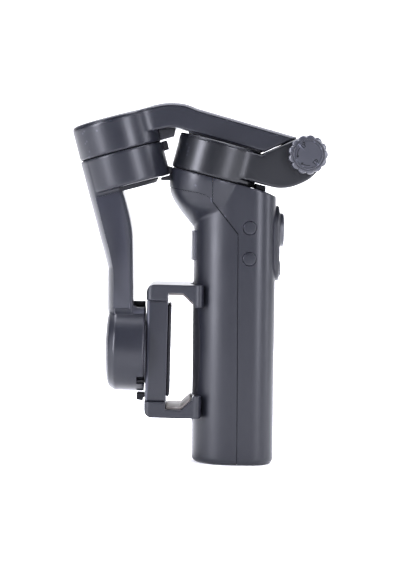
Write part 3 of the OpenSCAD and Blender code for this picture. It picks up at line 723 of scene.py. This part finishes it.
def stroke(points, width=LINE_W, closed=False):
    """A thin dark line through points on the knob's face."""
    mesh = bmesh.new()
    rows = []
    count = len(points)
    for i, point in enumerate(points):
        before = Vector(points[(i - 1) % count] if closed or i else point)
        after = Vector(points[(i + 1) % count] if closed or i < count - 1 else point)
        along = after - before
        side = Vector((-along.y, along.x)).normalized() * width / 2
        corners = [Vector(point) + side, Vector(point) - side]
        rows.append([mesh.verts.new((c.x, c.y, z)) for z in (DISC_FACE - 0.05, DISC_FACE + 0.04)
                     for c in corners])
    pairs = list(zip(rows, rows[1:])) + ([(rows[-1], rows[0])] if closed else [])
    for a, b in pairs:
        for i, j in ((0, 1), (1, 3), (3, 2), (2, 0)):
            mesh.faces.new((a[i], a[j], b[j], b[i]))
    if not closed:
        for row in (rows[0], rows[-1]):
            mesh.faces.new((row[0], row[1], row[3], row[2]))
    bmesh.ops.recalc_face_normals(mesh, faces=mesh.faces)
    bmesh.ops.transform(mesh, matrix=ON_HINGE, verts=mesh.verts)
    return mesh


def padlock(x, y, turn, opened):
    """A padlock sign: a square body under a bow."""
    c, s = math.cos(math.radians(turn)), math.sin(math.radians(turn))

    def turned(points):
        return [(x + u * c - v * s, y + u * s + v * c) for u, v in points]
    bow_x = -0.7 if opened else 0.0
    return [stroke(turned([(-0.85, -0.8), (0.85, -0.8), (0.85, 0.4), (-0.85, 0.4)]), closed=True),
            stroke(turned([(0.6 + bow_x, 0.4)] + arc((bow_x, 0.75), 0.6, 0, 180, 8)
                          + ([] if opened else [(-0.6, 0.4)])))]


def arrow(start, end):
    """A curved arrow round the knob's face, from one angle to another, in degrees."""
    r = 5.3
    tip = math.radians(end)
    back = math.radians(end + (10 if end < start else -10))
    barb = [(rr * math.cos(back), rr * math.sin(back)) for rr in (r - 0.55, r + 0.55)]
    point = (r * math.cos(tip), r * math.sin(tip))
    return [stroke(arc((0, 0), r, start, end, 12), 0.34), stroke([barb[0], point, barb[1]], 0.4)]


marks = padlock(-2.4, 4.3, -40, True) + padlock(3.3, -3.6, -40, False) + arrow(143, 196) + arrow(-80, -131)
finish(as_object("knob_signs", marks), "lock_knob", INK_AND_PAINTED_SHADE)

# ---- main arm ----

ARM_W = 13.4
TILT_H = 17.6
TILT_SLOPE = math.tan(math.radians(15.2))
TOP_EDGE = ([(-92, 171.4 - 30 * TILT_SLOPE), (-62, 171.4), (-43, 176.8)]
            + curve_through([(-41, 177.5), (-35.7, 178.6), (-30.3, 178.8), (-24.9, 178.2), (-19.5, 176.2)],
                            5)[1:] + [(30, 162.5)])
COVER_T = 1.45
COVER_GROOVE = 0.26
TONGUE_HALF_W = 6
RIB_HALF_W = 9.9
arm_side = (TOP_EDGE[1:] + rounded([(30, 162.5), (14.2, 155.1), (-25, 165.5)], {1: 2.5}, 6)[1:-1]
            + curve_through([(-25, 165.5), (-29, 166.4), (-33, 166.6), (-40, 165.2)], 5) + [(-62, 159.2)])
arm = as_object("main_arm_moulding", [
    spun(rounded([(0, GAP), (MOTOR_R, GAP), (MOTOR_R, TILT_H), (0, TILT_H)], {1: 0.4, 2: 2.4}, 2), ON_TILT),
    web(ARM_W, 20.8, 6.0, TILT_H - 0.4, ON_TILT),
    slab(arm_side, ARM_W, 0.5, soft=lambda p: p.z > 172.6 - 0.24 * abs(p.x + 27), soft_r=1.5,
         soft_steps=1)])
fuse(arm, 0.45, 5)
cut(arm, [slab(about_hinge([(9.0, 30), (9.62, 30), (9.62, -30), (-30, -30), (-30, 30)]), 30)])
lid = twin(arm, "arm_top_cover")


def over(drop):
    """Everything above the arm's top edge lowered by the given drop."""
    return slab([(x, z - drop) for x, z in TOP_EDGE] + [(60, 154.3), (60, 220), (-92, 220)], PAST)


cut(lid, [over(COVER_T)], "INTERSECT")
finish(lid, "main_arm", ARM_ABS, angle=40)
cut(arm, [over(COVER_T + COVER_GROOVE)])
tongue_side = about_hinge([(0, 6.6), (11.5, 9.4), (11.5, 3.6), (5.15, -4.2)])
tongue_end = slab(arc((HINGE.x, HINGE.z), 6.6, 0, 352, 44), TONGUE_HALF_W)
cut(arm, [slab(tongue_side, TONGUE_HALF_W), tongue_end], "UNION")
cut(arm, [rod(4.5, -10, 10, ON_HINGE, 48),
          rod(18.4, 2.4, 15.6, ON_TILT, 96),
          rod(8, -1, 6, ON_TILT, 64)])
finish(arm, "main_arm", ARM_ABS, ["main_arm", "arm_cover"], angle=40)
rib_edge = [(12.6, 155.9), (-23.5, 165.3)]
rib = slab([(x, z - 1.0) for x, z in rib_edge] + [(x, z + 0.6) for x, z in rib_edge[::-1]], RIB_HALF_W,
           0.2, segments=2)
finish(as_object("arm_underside", [rib]), "main_arm", PANEL_ABS)
# a near-black strip under the arm by the knuckle: painted shade in the gap
heel = slab([(12.5, 154.75), (25.5, 160.05), (25.1, 160.9), (12.1, 155.6)], RIB_HALF_W)
finish(as_object("arm_painted_shade", [heel]), "main_arm", INK_AND_PAINTED_SHADE)
stop_face = slab([(-34.5, 167), (-29.8, 166.3), (-30.7, 162.4), (-34.2, 161.7)], 5, 0.4)
finish(as_object("stop_face", [stop_face]), "main_arm", PANEL_ABS)
# near-black ring in the tilt joint's gap: painted shade
joint_gap_shade("tilt_gap_painted_shade", UNDER_TILT, "tilt_arm")

# ---- tilt arm ----

TILT_LOW = 17.0
TILT_ARM_W = 12.0
BACK_R = 21.1
ROLL_R = 21.5
ROLL_BACK = -31.7
ROLL_FRONT = -13.8
inner_edge = [(-50.1, 60), (-50.1, 81.4), (-50.3, 105.1), (-51, 117), (-53.7, 128.8), (-56.2, 137),
              (-60, 150)]
arm_zone = [(-90, 60)] + curve_through(inner_edge, 4) + [(-90, 150)]
round_back = as_object("round_back", [rod(BACK_R, GAP, 70, UNDER_TILT)])
cut(round_back, [rod(BACK_R, 55, 108, Matrix.Translation((BACK_R - 63.1, 0, 0)))], "UNION")
cut(round_back, [slab(arm_zone, TILT_ARM_W)], "INTERSECT")
limb = as_mesh(round_back)
tilt_arm = as_object("tilt_arm_moulding", [
    spun(rounded([(0, GAP), (MOTOR_R - 0.1, GAP), (MOTOR_R - 0.1, TILT_LOW), (0, TILT_LOW)],
                 {1: 0.3, 2: 1.3}), UNDER_TILT),
    limb,
    spun(rounded([(0, ROLL_BACK), (19.4, ROLL_BACK), (ROLL_R, -28.4), (ROLL_R, ROLL_FRONT),
                  (0, ROLL_FRONT)], {1: 0.5, 2: 1.2, 3: 0.3}), ALONG_ROLL)])
fuse(tilt_arm, 0.5, 4)
panel = [(-69.3, 131.6), (-66.6, 121.2), (-61.8, 103.6), (-60.2, 96), (-59.9, 90), (-59.9, 77.0),
         (-51.1, 77.0), (-51.3, 105.1), (-52.0, 117), (-54.7, 128.8), (-56.6, 135.2)]
cut(tilt_arm, [rod(MOTOR_BORE, -5, MOTOR_DEPTH, UNDER_TILT, 96),
               rod(18.4, -28.9, -10, ALONG_ROLL, 96),
               rod(18.5, -40, -31.0, ALONG_ROLL, 96),
               rod(3.6, -40, -10, ALONG_ROLL, 48),
               block((-17.3, -30, -16.8), (-13, -10, -12.8), 0, ON_ROLL)])
for side in (-1, 1):
    cut(tilt_arm, [slab(panel, 1.0, 0, shift=side * (TILT_ARM_W + 0.4))])
    inlay = slab(panel, 0.25, 0.12, shift=side * (TILT_ARM_W - 0.75), segments=2)
    bmesh.ops.scale(inlay, vec=(0.965, 1, 0.993), space=Matrix.Translation((56.5, 0, -104)),
                    verts=inlay.verts)
    finish(as_object("arm_inlay_" + ("near" if side < 0 else "far"), [inlay]), "tilt_arm", ARM_ABS,
           ["tilt_arm_panels"])
finish(tilt_arm, "tilt_arm", ARM_ABS, ["tilt_arm"], angle=40)
gusset = slab([(-52, 70), (-44.3, 70), (-44.3, 77.5), (-48.2, 77.7), (-49.6, 78.6), (-50.3, 80.2),
               (-52, 80.2)], TILT_ARM_W - 0.3, 0.6)
gusset = as_object("arm_gusset", [gusset])
cut(gusset, [rod(20.6, -32, -10, ALONG_ROLL, 96)])
finish(gusset, "tilt_arm", ARM_ABS)
dome = spun(rounded([(0, -33.4), (1, -33.4), (4, -33.36), (9, -33.3), (12, -33.1), (15.5, -32.8),
                     (18.3, -31.9), (18.3, -31.0), (0, -31.0)], {5: 1.0, 6: 0.3}), ALONG_ROLL)
finish(as_object("roll_dome", [dome]), "tilt_arm", ARM_ABS, ["roll_end_cap"], angle=50)

# ---- clamp ----

CLAMP_H = 24.7
CLAMP_W = 15.0
BODY_BACK, COVER_FRONT, PAD_FRONT = -13.0, -2.6, -1.0
clamp = as_object("clamp_moulding", [slab([(BODY_BACK, -CLAMP_H), (COVER_FRONT, -CLAMP_H),
                                           (COVER_FRONT, CLAMP_H), (BODY_BACK, CLAMP_H)], CLAMP_W, 0.35,
                                          ON_ROLL, lambda p: p.x < BODY_BACK + 1, 1.6)])
both = [1, -1]
channels = [block((-9.5, s * 7.8 if s > 0 else -12.2, 1), (-5.1, 12.2 if s > 0 else -7.8, 30), 0, ON_ROLL)
            for s in both]
channels += [block((-9.5, 1.8 if s > 0 else -6.2, -30), (-5.1, 6.2 if s > 0 else -1.8, -1), 0, ON_ROLL)
             for s in both]
cut(clamp, channels)
finish(clamp, "clamp", ARM_ABS, ["clamp_body", "clamp_cover"], angle=50)
back_pad = block((COVER_FRONT, -12.5, -22.7), (PAD_FRONT, 12.5, 22.7), 0.7, ON_ROLL)
finish(as_object("phone_pad", [back_pad]), "clamp", RUBBER, ["clamp_pad"])

JAW_TOP, JAW_IN, JAW_W, JAW_BACK = 33.0, 28.8, 17.5, -13.3
LIP_X, LIP_Z = 15.0, 21.8
jaw_side = ([(JAW_BACK, CLAMP_H + 0.3), (COVER_FRONT, CLAMP_H + 0.3), (COVER_FRONT, JAW_IN), (5.0, JAW_IN),
             (10.4, 23.6), (10.9, LIP_Z)]
            + arc((LIP_X - 1.2, LIP_Z + 1.2), 1.2, 270, 360, 4)
            + arc((LIP_X - 0.8, JAW_TOP - 0.8), 0.8, 0, 90, 3)
            + arc((JAW_BACK + 4, JAW_TOP - 4), 4, 90, 180, 8))


def jaw(name, outline, rails, body, up, nodes):
    """One jaw: its side outline, rounded in plan, with two rails that slide in the clamp."""
    made = as_object(name, [slab(outline, JAW_W, 0.3, ON_ROLL)])
    corners = (arc((LIP_X - 4.5, JAW_W - 4.5), 4.5, 0, 90, 8)
               + arc((JAW_BACK + 3, JAW_W - 3), 3, 90, 180, 5)
               + arc((JAW_BACK + 3, 3 - JAW_W), 3, 180, 270, 5)
               + arc((LIP_X - 4.5, 4.5 - JAW_W), 4.5, 270, 360, 8))
    cut(made, [prism(corners, -40, 40, ON_ROLL)], "INTERSECT")
    cut(made, [column(-1.4, -20, 150)])
    fuse(made, 0.33, 4)
    for low, high in rails:
        z = sorted((up * 3, up * (CLAMP_H + 3)))
        cut(made, [block((-9.3, low, z[0]), (-5.3, high, z[1]), 0, ON_ROLL)], "UNION")
    return finish(made, body, ARM_ABS, nodes, angle=45)


jaw("upper_jaw_moulding", jaw_side, [(8, 12), (-12, -8)], "upper_jaw", 1, ["upper_jaw"])
jaw("lower_jaw_moulding", mirrored(jaw_side), [(2, 6), (-6, -2)], "lower_jaw", -1, ["lower_jaw"])
for name, up in (("upper_jaw", 1), ("lower_jaw", -1)):
    outline = [(COVER_FRONT + 0.3, JAW_IN), (COVER_FRONT + 0.3, JAW_IN - 1.1), (4.7, JAW_IN - 1.1),
               (9.3, 23.3), (10.0, 24.0), (5.2, JAW_IN)]
    outline = outline if up > 0 else mirrored(outline)
    strip = as_object(name + "_grip_strip", [slab(outline, 14, 0.25, ON_ROLL, segments=2)])
    cut(strip, [column(-1.4, -20, 150)])
    finish(strip, name, JAW_RUBBER, [name + "_pad"])


def softened(node, body, material, voxel=0.3, passes=3):
    """A small moulded block: the CAD shape with its edges eased."""
    mesh = bmesh.new()
    mesh.from_mesh(frame["nodes"][node].data)
    bmesh.ops.remove_doubles(mesh, verts=mesh.verts, dist=1e-6)
    bmesh.ops.scale(mesh, vec=(1 / MM,) * 3, verts=mesh.verts)
    made = as_object(node + "_moulding", [mesh])
    fuse(made, voxel, passes)
    return finish(made, body, material, [node])


for node, body in (("stow_bumper", "handle"), ("pan_rest_block", "handle"), ("tilt_stop_block", "main_arm"),
                   ("tilt_stop_pin", "tilt_arm"), ("roll_rest_bar", "tilt_arm"),
                   ("roll_stop_hook", "clamp"),
                   ("tilt_bottom_cap", "tilt_arm")):
    softened(node, body, PANEL_ABS if node == "tilt_stop_block" else RUBBER)

# ---- floor, light and camera ----


def stage_material(name, value):
    """Plain matt paper, lit a little from behind."""
    material = bpy.data.materials.new(name)
    material.use_nodes = True
    shader = material.node_tree.nodes["Principled BSDF"]
    shader.inputs["Base Color"].default_value = (value, value, value, 1)
    shader.inputs["Roughness"].default_value = 0.9
    shader.inputs["Specular IOR Level"].default_value = 0.1
    shader.inputs["Emission Color"].default_value = (1, 1, 1, 1)
    shader.inputs["Emission Strength"].default_value = 0.16
    return material


def sweep():
    """A pale paper sweep: floor, curve and wall in one sheet."""
    mesh = bmesh.new()
    bend = [math.pi / 2 * i / 16 for i in range(1, 17)]
    curve = [(1.2 + 0.8 * math.sin(t), 0.8 - 0.8 * math.cos(t)) for t in bend]
    path = [(-3.0, 0.0), (1.2, 0.0)] + curve + [(2.0, 4.0)]
    row = [mesh.verts.new((-4, y, z)) for y, z in path]
    edges = [mesh.edges.new(pair) for pair in zip(row, row[1:])]
    grown = bmesh.ops.extrude_edge_only(mesh, edges=edges)
    bmesh.ops.translate(mesh, vec=(8, 0, 0), verts=[v for v in grown["geom"]
                                                    if isinstance(v, bmesh.types.BMVert)])
    bmesh.ops.recalc_face_normals(mesh, faces=mesh.faces)
    data = bpy.data.meshes.new("paper_sweep")
    mesh.to_mesh(data)
    mesh.free()
    data.shade_smooth()
    data.materials.append(stage_material("white_paper", 0.93))
    made = bpy.data.objects.new("paper_sweep", data)
    bpy.context.scene.collection.objects.link(made)


sweep()


def softbox(name, place, target, width, height, power, tint=(0.87, 0.88, 1.0)):
    """A rectangular area light that faces a target."""
    data = bpy.data.lights.new(name, "AREA")
    data.shape = "RECTANGLE"
    data.size, data.size_y, data.energy = width, height, power
    data.color = tint
    made = bpy.data.objects.new(name, data)
    bpy.context.scene.collection.objects.link(made)
    made.location = place
    made.rotation_euler = (Vector(target) - Vector(place)).to_track_quat("-Z", "Y").to_euler()
    return made


TARGET = (-0.02, 0, 0.09)
softbox("key_left", (-1.12, -0.9, 0.3), TARGET, 0.36, 1.3, 60)
softbox("fill_right", (0.8, -1.2, 0.3), TARGET, 0.32, 1.3, 38)
softbox("rim_right", (1.3, -0.2, 0.3), TARGET, 0.2, 1.3, 16)
softbox("front", (0.0, -1.7, 0.35), TARGET, 0.9, 0.8, 1)
softbox("top", (0, 0.12, 1.2), TARGET, 1.8, 0.9, 56)
softbox("paper_light", (0, 0.9, 2.0), (0, 1.6, 0.3), 2.4, 1.2, 60, (1, 1, 1))

world = bpy.data.worlds.new("studio")
world.use_nodes = True
world.node_tree.nodes["Background"].inputs["Color"].default_value = (0.9, 0.92, 1, 1)
world.node_tree.nodes["Background"].inputs["Strength"].default_value = 0.13
bpy.context.scene.world = world
bpy.context.scene.view_settings.view_transform = "Standard"

EYE = Vector((-0.017, -0.910, 0.1394))
PITCH = 3.2
LEAN = 0.66
camera_data = bpy.data.cameras.new("camera")
camera_data.lens = 115
camera_data.sensor_width = 36
camera_data.clip_start = 0.01
camera = bpy.data.objects.new("camera", camera_data)
camera.matrix_world = (Matrix.Translation(EYE) @ Matrix.Rotation(math.radians(90 - PITCH), 4, "X")
                       @ Matrix.Rotation(math.radians(LEAN), 4, "Z"))
bpy.context.scene.collection.objects.link(camera)
bpy.context.scene.camera = camera
